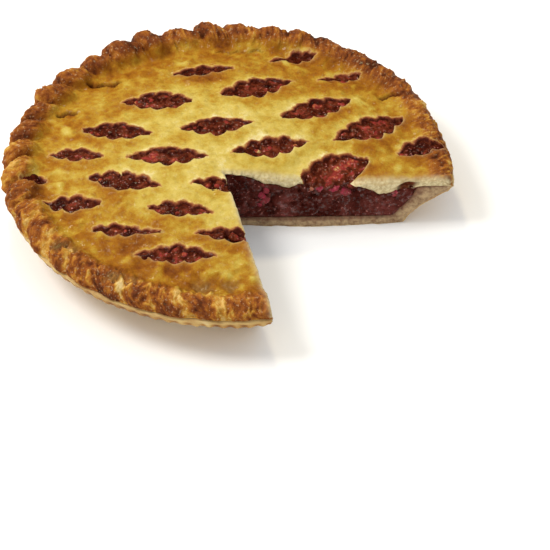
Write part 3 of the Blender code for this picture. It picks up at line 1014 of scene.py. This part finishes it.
def make_top_crust():
    sheet = make_crust_sheet()
    plan = sheet.plan
    share, angle = rope_share(plan)
    base = crust_outer(plan)
    slits = SlitField(base)
    relief = crust_relief(plan, base, share, angle, slits)
    depth, dark, hollow, brim = crack_field(base)
    border_places = base[sheet.border]
    on_lip, on_slit, on_far = border_kinds(border_places, sheet.border_plan, PLAN_LIP)
    on_cut = ~on_lip & ~on_slit
    along, across = from_right_cut(sheet.border_plan)
    on_right = on_cut & (np.abs(across) < 1.0) & (along > 0.0)
    owner, distance = nearest(tree_of(sheet.border_plan), plan)
    radius = np.select((on_lip, on_far, on_slit, on_right), (0.5, 0.6, 0.7, 2.0), 0.7)[owner]
    inset = np.clip(radius - distance, 0.0, None)
    rounding = radius - np.sqrt(np.maximum(radius ** 2 - inset ** 2, 0.0))
    normals = vertex_normals(base, sheet.triangles)
    outer = base + normals * (relief - rounding - depth + 0.4 * brim)[:, None]
    inner = crust_inner(sheet.inner_plan)
    slope = np.select((on_far, on_slit), (1.6, 0.3), 0.0)
    inner[: len(sheet.border), :2] += sheet.outward * slope[:, None]
    reach = np.where(on_right, between(FLAP_REACH_AT, along), 0.25)
    edge_push = reach * (1.0 + 0.5 * noise(np.column_stack((sheet.border_plan, along)), 4.0, 43))
    outer[sheet.border, :2] += sheet.outward * np.where(on_cut, 0.6 * edge_push, 0.0)[:, None]

    def wall(top, bottom, part):
        places = top + (bottom - top) * part
        push = math.sin(math.pi * part) * np.select((on_lip, on_slit), (1.0, 0.35), edge_push)
        rough = 0.25 + 0.45 * on_cut
        push = push + rough * fractal(places, 2.6, 41, 2) * math.sin(math.pi * part) ** 0.5
        push = push - 3.0 * pocket(places) * on_right
        places[:, :2] += sheet.outward * push[:, None]
        return places

    piece, places = sheet.make("top_crust_baked", outer, inner, CRUST_ROWS, wall)
    brown = crust_tone(plan, base, share, angle, slits)
    # Browner in the finger marks' hollows as painted shade; paler on their brims.
    brown = brown + 0.10 * hollow - 0.22 * brim
    # Cut dough is pale; the pale line along the slits' near edges is partly pale dough and partly a painted
    # highlight.
    edge_crumb = np.select((on_lip[owner], on_far[owner], on_slit[owner]), (0.0, 0.0, 0.5), 0.9)
    crumb = edge_crumb * np.exp(-distance / np.where(on_cut[owner], 1.0, 0.6))
    hem = np.where(on_far[owner], np.exp(-distance / 2.3), 0.0)
    cream = (0.12 + 0.30 * noise(base, 4.0, 45)) * np.exp(-(distance / (2.0 + noise(base, 6.0, 46))) ** 2)
    brown = brown - np.where(on_far[owner], cream, 0.0)

    def wall_crumb(part):
        return np.select((on_lip, on_far), (0.5 * smooth((part - 0.5) * 3.0), 0.0), smooth(part * 5.0))

    def wall_stain_and_shade(part):
        # Darker down the slits' near walls from juice; the low band on the cut walls is partly juice stain, partly
        # painted shade.
        low = 0.4 * smooth((part - 0.75) * 4.0) * (along < 94.0)
        return np.select((on_far, on_slit), (0.0, smooth(part * 6.0)), low)

    border_brown = brown[sheet.border]
    rows = CRUST_ROWS
    set_attribute(piece, "brown", sheet.spread(brown, 0.4, rows, lambda part: border_brown))
    set_attribute(piece, "crumb", sheet.spread(crumb, 1.0, rows, wall_crumb))
    # The cracks are darkened: partly juice stain, partly painted shade in the crevices.
    stain_and_shade = sheet.spread(dark, 0.3, rows, wall_stain_and_shade)
    # The hollow under the lid's end at the right-hand cut is darkened: painted shade.
    stain_and_shade[len(plan):] = np.maximum(stain_and_shade[len(plan):], smooth(1.6 * pocket(places[len(plan):])))
    set_attribute(piece, "stain_and_shade", stain_and_shade)
    turn = flute_turn(angle, share)
    for name, outer_values in (
        ("hollow_shade", np.clip(0.5 * hollow * (1.0 - brim), 0.0, 1.0)),
        ("rope", smooth((share - 0.05) / 0.2)),
        ("hem", hem),
        ("puff", np.maximum(slits.behind, 0.4 * smooth(share / 0.2))),
        ("along", 18.5 * turn),
        ("over", 30.0 * share),
    ):
        border_values = outer_values[sheet.border]
        inner_values = np.zeros(len(sheet.inner_plan))
        inner_values[: len(sheet.border)] = border_values
        set_attribute(piece, name, sheet.spread(outer_values, inner_values, rows, lambda part: border_values))
    piece.data.materials.append(top_crust_material())
    return piece


def lump_field(points, lumps):
    """Height from 0 to 1 of round lumps that meet in creases."""
    best = np.zeros(len(points))
    for x, y, z, radius in lumps:
        near = ((points[:, 0] - x) ** 2 + (points[:, 1] - y) ** 2 + (points[:, 2] - z) ** 2) / radius ** 2
        best = np.maximum(best, np.sqrt(np.clip(1.0 - near, 0.0, 1.0)) * min(1.0, radius / 5.0))
    return best


# Fruit pieces in the right-hand cut: distance along it, height, radius and tone.
FRUIT = (
    (20.4, 14.0, 3.4, 0.80), (22.6, 16.8, 3.0, 0.72), (20.8, 19.6, 3.0, 0.82), (23.2, 24.2, 2.8, 0.78),
    (21.6, 27.6, 2.2, 0.66), (18.6, 17.4, 2.0, 0.64), (24.6, 20.6, 1.8, 0.60),
    (47.6, 25.6, 3.8, 0.94), (52.5, 28.8, 4.4, 0.78), (60.0, 27.0, 4.8, 0.80), (66.0, 22.6, 3.8, 0.74),
    (93.5, 20.5, 3.6, 0.74), (33.0, 9.0, 2.4, 0.76), (10.0, 22.0, 3.0, 0.58), (12.0, 29.5, 2.4, 0.66),
)


def cut_lumps():
    """Lumps of fruit on both cut faces, each a centre and a radius."""
    rng = np.random.default_rng(12)
    lumps = []
    for turn in (RIGHT_CUT, LEFT_CUT):
        for _ in range(330):
            along, height = rng.uniform(2.0, 112.0), rng.uniform(4.0, 36.0)
            radius = rng.uniform(1.6, 5.2)
            off = rng.uniform(-0.5, 0.7) * radius
            x = CUT_POINT[0] + along * math.cos(turn) - off * math.sin(turn)
            y = CUT_POINT[1] + along * math.sin(turn) + off * math.cos(turn)
            lumps.append((x, y, height, radius))
    return lumps


def ball(subdivisions):
    """Unit points and triangles of an even ball."""
    mesh = bmesh.new()
    bmesh.ops.create_icosphere(mesh, subdivisions=subdivisions, radius=1.0)
    mesh.verts.ensure_lookup_table()
    points = np.array([tuple(vertex.co) for vertex in mesh.verts])
    faces = np.array([[vertex.index for vertex in face.verts] for face in mesh.faces])
    mesh.free()
    return points, faces


def uneven_ball(rng, centre, radius):
    """A squashed, turned and dented ball of fruit."""
    points, faces = ball(3 if radius > 2.6 else 2)
    stretch = rng.uniform(0.7, 1.15, 3)
    turn = np.array(Matrix.Rotation(rng.uniform(0.0, 6.28), 3, Vector(rng.normal(size=3)).normalized()))
    dents = 1.0 + 0.28 * noise(points + rng.uniform(0.0, 50.0, 3), 0.9, 131) - 0.2 * np.abs(noise(points, 0.6, 132))
    return centre + (points * stretch * dents[:, None] * radius) @ turn.T, faces


def scattered_fruit():
    """Centres, radii and tones of the fruit on the cut faces and in the slits."""
    rng = np.random.default_rng(23)
    made = []
    for turn, side in ((RIGHT_CUT, 1.0), (LEFT_CUT, -1.0)):
        ahead = np.array((math.cos(turn), math.sin(turn)))
        inward = side * np.array((-ahead[1], ahead[0]))
        known = FRUIT if side > 0.0 else ()
        random = [
            (rng.uniform(4.0, 88.0), rng.uniform(7.0, 30.0), rng.uniform(1.1, 2.4), 0.22 + 0.35 * rng.beta(1.3, 2.6))
            for _ in range(45)
        ]
        for along, height, radius, tone in list(known) + random:
            flat = CUT_POINT + ahead * along + inward * 0.58 * radius
            top = lid_height(flat[None, :])[0] - LID_THICKNESS
            made.append(((flat[0], flat[1], min(height, top - 0.4 * radius)), radius, tone, 1.0))
    for slit in SLITS:
        centre, direction = slit_frame(*slit)
        sideways = np.array((-direction[1], direction[0]))
        for _ in range(int(slit[2] * slit[3] / 60.0)):
            along = rng.uniform(-0.42, 0.42) * slit[3]
            across = rng.uniform(-0.8, 0.8) * slit_half(slit, along)
            radius = min(rng.uniform(1.4, 3.0), 0.9 * slit_half(slit, along))
            flat = centre + direction * along + sideways * across
            if radius > 0.8 and depth_in_pie(flat) > 1.2 * radius:
                level = crust_outer(to_plan(flat[None, :]))[0, 2] - FILLING_LEVEL - rng.uniform(0.4, 0.8) * radius
                made.append(((flat[0], flat[1], level), radius, rng.uniform(0.35, 0.80), 0.0))
    return made


def depth_in_pie(flat):
    """Distance of a place from the nearest cut face; less than 0 in the missing wedge."""
    depths = []
    for turn, side in ((RIGHT_CUT, 1.0), (LEFT_CUT, -1.0)):
        offset = flat - CUT_POINT
        depths.append(side * (offset[1] * math.cos(turn) - offset[0] * math.sin(turn)))
    return max(depths)


def make_fruit():
    rng = np.random.default_rng(29)
    places, faces, tones, cuts = [], [], [], []
    start = 0
    for centre, radius, tone, cut in scattered_fruit():
        points, triangles = uneven_ball(rng, np.array(centre), radius)
        places.append(points)
        faces.append(triangles + start)
        tones.append(np.full(len(points), tone))
        cuts.append(np.full(len(points), cut))
        start += len(points)
    piece = mesh_object("cherry_pieces", np.vstack(places), np.vstack(faces))
    set_attribute(piece, "tone", np.concatenate(tones))
    set_attribute(piece, "cut", np.concatenate(cuts))
    piece.data.materials.append(fruit_material("cherry_pieces_wet"))
    return piece


def make_filling_sheet():
    outline = pie_outline(FILLING_EDGE, 0.8)
    grown = [slit_loop(slit, 0.8, 2.5) for slit in SLITS]
    fine = staggered(0.7, 0.0, FILLING_EDGE, 8)
    wanted = np.zeros(len(fine), dtype=bool)
    coarse = staggered(3.5, 0.0, FILLING_EDGE - 1.0, 9)
    for loop in grown:
        wanted |= inside(fine, loop)
        coarse = coarse[~inside(coarse, loop)]
    points = np.vstack((fine[wanted], coarse))
    points = points[in_pie(points)]
    points = clear_of(points, outline, 0.4)
    return Sheet(points, [outline], staggered(5.0, 0.0, FILLING_EDGE - 2.0, 10), in_pie)


def filling_floor(plan):
    """Bottom of the filling: the plan drawn in to the bottom crust's inner corner."""
    radius = np.hypot(plan[:, 0], plan[:, 1])
    keep = 40.0
    corner = BASE_RADIUS - 7.0
    place = plan.copy()
    away = radius > keep
    place[away] = at_radius(plan[away], keep + (radius[away] - keep) * (corner - keep) / (FILLING_EDGE - keep))
    return np.column_stack((place, np.full(len(plan), BASE_THICKNESS + 0.2)))


def make_filling():
    sheet = make_filling_sheet()
    plan = sheet.plan
    surface = crust_outer(plan)
    slits = SlitField(surface)
    under = np.minimum(crust_inner(plan)[:, 2] - 0.3, surface[:, 2] - 3.0)
    uneven = 0.55 * fractal(surface, 5.0, 71, 3) + 0.5 * (0.5 - np.abs(noise(surface, 2.6, 75)))
    level = surface[:, 2] - FILLING_LEVEL + uneven
    along, across = from_right_cut(plan)
    level -= 2.5 * np.exp(-np.maximum(across, 0.0) / 1.6) * (along > 0.0)
    big_slit = np.exp(-((along - 60.0) / 20.0) ** 2 - ((across - 4.0) / 12.0) ** 2)
    level += 0.8 * big_slit
    top = under + (level - under) * slits.open
    radius = np.hypot(plan[:, 0], plan[:, 1])
    border_edge = smooth((radius - FOOT + 1.0) / 6.0) * (1.0 - slits.open)
    top -= border_edge * np.maximum(top - FLANGE_HEIGHT + 0.8, 0.0)
    outer = np.column_stack((surface[:, :2], top))
    narrow = radius > 96.0
    pulled = 96.0 + (radius[narrow] - 96.0) * 0.35
    drawn = at_radius(plan[narrow], pulled)
    share = slits.open[narrow][:, None]
    outer[narrow, :2] = drawn + (outer[narrow, :2] - drawn) * share
    inner = filling_floor(sheet.inner_plan)
    on_cut = np.hypot(sheet.border_plan[:, 0], sheet.border_plan[:, 1]) < FILLING_EDGE - 0.5
    lumps = cut_lumps()

    def wall(top_row, bottom_row, part):
        places = top_row + (bottom_row - top_row) * part
        height = lump_field(places, lumps)
        push = 2.4 * height - 1.3 + 0.55 * fractal(places, 2.6, 81, 3)
        push = push * math.sin(math.pi * min(part, 1.0 - part, 0.10) / 0.20)
        places[:, :2] += sheet.outward * np.where(on_cut, push, 0.0)[:, None]
        return places

    piece, places = sheet.make("cherry_filling_lumps", outer, inner, FILLING_ROWS, wall)
    tone = 0.28 + 0.26 * fractal(places, 14.0, 91, 4) + 0.16 * lump_field(places, lumps)
    face_along = from_right_cut(places[:, :2])[0]
    tone += 0.10 * np.exp(-((face_along - 30.0) / 9.0) ** 2) - 0.10 * np.exp(-((face_along - 8.0) / 9.0) ** 2)
    right = smooth((plan[:, 0] - 10.0) / 60.0) - 2.4 * smooth((plan[:, 0] - 92.0) / 8.0)
    tone[: len(plan)] = 0.38 + 0.06 * right + 0.16 * big_slit + 0.34 * fractal(surface, 6.0, 95, 2)
    cut = np.where(np.arange(len(tone)) < len(plan), 0.0, 1.0)
    top_tone = tone[: len(plan)][sheet.border]
    first = len(plan) + len(sheet.inner_plan)
    for row in range(1, FILLING_ROWS // 3):
        ids = first + (row - 1) * len(sheet.border) + np.arange(len(sheet.border))
        keep = smooth(1.0 - 3.0 * row / FILLING_ROWS) * slits.open[sheet.border]
        tone[ids] += (top_tone - tone[ids]) * keep
        cut[ids] -= keep
    set_attribute(piece, "tone", tone)
    set_attribute(piece, "cut", cut)
    piece.data.materials.append(fruit_material("cherry_filling"))
    return piece


def profile_places(plan, profile):
    """Places of plan points on a turned profile; the plan's radius is the way along the outside one."""
    steps = np.linalg.norm(np.diff(np.array(SHELL_OUTSIDE), axis=0), axis=1)
    distances = np.concatenate(([0.0], np.cumsum(steps)))
    radius = np.hypot(plan[:, 0], plan[:, 1])
    wide = np.interp(radius, distances, [point[0] for point in profile])
    high = np.interp(radius, distances, [point[1] for point in profile])
    place = plan.copy()
    away = radius > profile[1][0]
    place[away] = at_radius(plan[away], wide[away])
    return np.column_stack((place, high))


def make_bottom_crust():
    edge = float(np.sum(np.linalg.norm(np.diff(np.array(SHELL_OUTSIDE), axis=0), axis=1)))
    outline = pie_outline(edge, 0.9)
    points = np.vstack((staggered(3.0, 0.0, 90.0, 13), staggered(1.1, 90.0, edge, 14)))
    points = clear_of(points[in_pie(points)], outline, 0.45)
    sheet = Sheet(points, [outline], staggered(3.0, 0.0, edge - 1.5, 15), in_pie)
    outer = profile_places(sheet.plan, SHELL_OUTSIDE)
    radius, angle = polar(sheet.plan)
    circle = np.column_stack((np.cos(angle), np.sin(angle), 0.0 * angle))
    on_wall = smooth((outer[:, 2] - 1.0) / 4.0) * smooth((24.0 - outer[:, 2]) / 2.0)
    ridge = np.cos(RIDGES * angle + 1.4 * noise(circle, 0.2, 4) + 0.05 * outer[:, 2]) * (0.6 + 0.5 * noise(circle, 0.12, 5))
    push = 0.7 * on_wall * ridge + 0.45 * fractal(outer, 9.0, 101, 3) + 0.15 * fractal(outer, 2.5, 105, 2)
    wallward = smooth((radius - 90.0) / 6.0)
    outer[:, :2] += circle[:, :2] * (push * wallward)[:, None]
    outer[:, 2] += (1.0 - wallward) * 0.25 * np.clip(fractal(outer, 12.0, 107, 3), 0.0, 1.0)
    outer[:, 2] += smooth((outer[:, 2] - 22.0) / 2.0) * 0.5 * fractal(outer, 11.0, 108, 2)
    along, across = from_right_cut(outer[:, :2])
    thin = np.exp(-((np.hypot(outer[:, 0], outer[:, 1]) - 117.0) / 4.5) ** 2 - (across / 25.0) ** 2) * (along > 0.0)
    outer[:, 2] += 2.8 * thin * smooth((outer[:, 2] - 15.0) / 3.0)
    inner = profile_places(sheet.inner_plan, SHELL_INSIDE)
    border_plan = sheet.border_plan
    on_lip = np.hypot(border_plan[:, 0], border_plan[:, 1]) > edge - 0.5
    along, across = from_right_cut(border_plan)
    on_right = ~on_lip & (np.abs(across) < 1.0) & (along > 0.0)
    jut = np.where(on_right, 2.2 * np.exp(-((along - 50.0) / 26.0) ** 2), 0.0)
    jut = jut + np.where(~on_lip, 0.6 * fractal(np.column_stack((border_plan, along)), 6.0, 109, 2) + 0.2, 0.0)
    jut = jut * smooth(np.linalg.norm(border_plan - CUT_POINT, axis=1) / 8.0)
    outer[sheet.border, :2] += sheet.outward * jut[:, None]
    inner[: len(sheet.border), :2] += sheet.outward * (0.6 * jut)[:, None]

    def wall(top, bottom, part):
        places = top + (bottom - top) * part
        push = math.sin(math.pi * part) * np.where(on_lip, 0.8, 0.5) + 0.5 * fractal(places, 2.4, 111, 2)
        places[:, :2] += sheet.outward * push[:, None]
        return places

    rows = CRUST_ROWS
    piece, places = sheet.make("bottom_crust_baked", outer, inner, rows, wall)
    brown = 0.42 + 0.30 * fractal(places, 12.0, 121, 3) + 0.3 * smooth((places[:, 2] - 10.0) / 10.0)
    brown[: len(outer)] -= 0.28 * on_wall * ridge
    brown -= 0.3 * smooth((places[:, 2] - 22.0) / 1.5)
    set_attribute(piece, "brown", np.clip(brown, 0.0, 1.0))
    set_attribute(piece, "crumb", sheet.spread(0.0, 1.0, rows, lambda part: np.where(on_lip, 0.2, 1.0)))

    def wall_stain_and_shade(part):
        # The cut walls are darkened all over as painted shade, and more towards the inner side from juice stain.
        return np.where(on_lip, 0.0, 0.25 + 0.5 * smooth((part - 0.6) * 3.0))

    set_attribute(piece, "stain_and_shade", sheet.spread(0.0, 0.7, rows, wall_stain_and_shade))
    piece.data.materials.append(bottom_crust_material())
    return piece


def make_floor():
    corners = [(-3.0, -3.0, 0.0), (3.0, -3.0, 0.0), (3.0, 3.0, 0.0), (-3.0, 3.0, 0.0)]
    mesh = bpy.data.meshes.new("floor")
    mesh.from_pydata(corners, [], [(0, 1, 2, 3)])
    floor = bpy.data.objects.new("floor", mesh)
    bpy.context.scene.collection.objects.link(floor)
    shader = Shader("floor_white")
    shader.set(Base_Color=linear(246, 245, 242), Roughness=0.7)
    mesh.materials.append(shader.material)
    floor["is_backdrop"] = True


def aim(thing, location, target):
    thing.location = location
    thing.rotation_euler = (Vector(target) - Vector(location)).to_track_quat("-Z", "Y").to_euler()


def add_light(name, location, size, power, colour):
    data = bpy.data.lights.new(name, "AREA")
    data.shape = "DISK"
    data.size = size
    data.energy = power
    data.color = colour
    light = bpy.data.objects.new(name, data)
    bpy.context.scene.collection.objects.link(light)
    aim(light, location, (0.0, 0.0, 0.02))


def light_scene():
    world = bpy.data.worlds.new("studio")
    world.use_nodes = True
    background = world.node_tree.nodes["Background"]
    background.inputs["Color"].default_value = (0.98, 1.0, 1.02, 1.0)
    background.inputs["Strength"].default_value = 0.9
    bpy.context.scene.world = world
    world.cycles_visibility.glossy = False
    add_light("key", (-1.0, 0.0, 1.25), 0.7, 17.0, (1.0, 0.98, 0.95))
    add_light("sparkle", (-0.25, 0.85, 1.15), 0.22, 5.5, (1.0, 0.86, 0.60))
    bpy.context.scene.view_settings.view_transform = "Standard"


CAMERA_ELEVATION = 41.255
CAMERA_ROLL = 0.8946
CAMERA_TARGET = Vector((0.0253, -0.0774, 0.020))
CAMERA_DISTANCE = 1.6535
CAMERA_ANGLE = 10.0


def add_camera():
    tilt = math.radians(CAMERA_ELEVATION)
    roll = math.radians(CAMERA_ROLL)
    forward = Vector((0.0, math.cos(tilt), -math.sin(tilt)))
    level = Vector((1.0, 0.0, 0.0))
    upright = level.cross(forward)
    right = level * math.cos(roll) + upright * math.sin(roll)
    above = upright * math.cos(roll) - level * math.sin(roll)
    data = bpy.data.cameras.new("camera")
    data.sensor_fit = "HORIZONTAL"
    data.angle = math.radians(CAMERA_ANGLE)
    camera = bpy.data.objects.new("camera", data)
    bpy.context.scene.collection.objects.link(camera)
    turn = Matrix((right, above, -forward)).transposed()
    camera.matrix_world = Matrix.Translation(CAMERA_TARGET - forward * CAMERA_DISTANCE) @ turn.to_4x4()
    bpy.context.scene.camera = camera


def corners(box):
    return [[float(value) for value in corner] for corner in box]


for make, node, slot in (
    (make_top_crust, "top_crust", "crust_top"),
    (make_filling, "filling", "cherry_filling"),
    (make_bottom_crust, "bottom_crust", "crust_bottom"),
):
    made = make()
    print("triangles", made.name, len(made.data.polygons))
    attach(made, "root")
    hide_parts(node)

fruit = make_fruit()
print("triangles", fruit.name, len(fruit.data.polygons))
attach(fruit, "root")

make_floor()
light_scene()
add_camera()

{"cad": corners(cad_bounds), "visual": corners(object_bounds())}
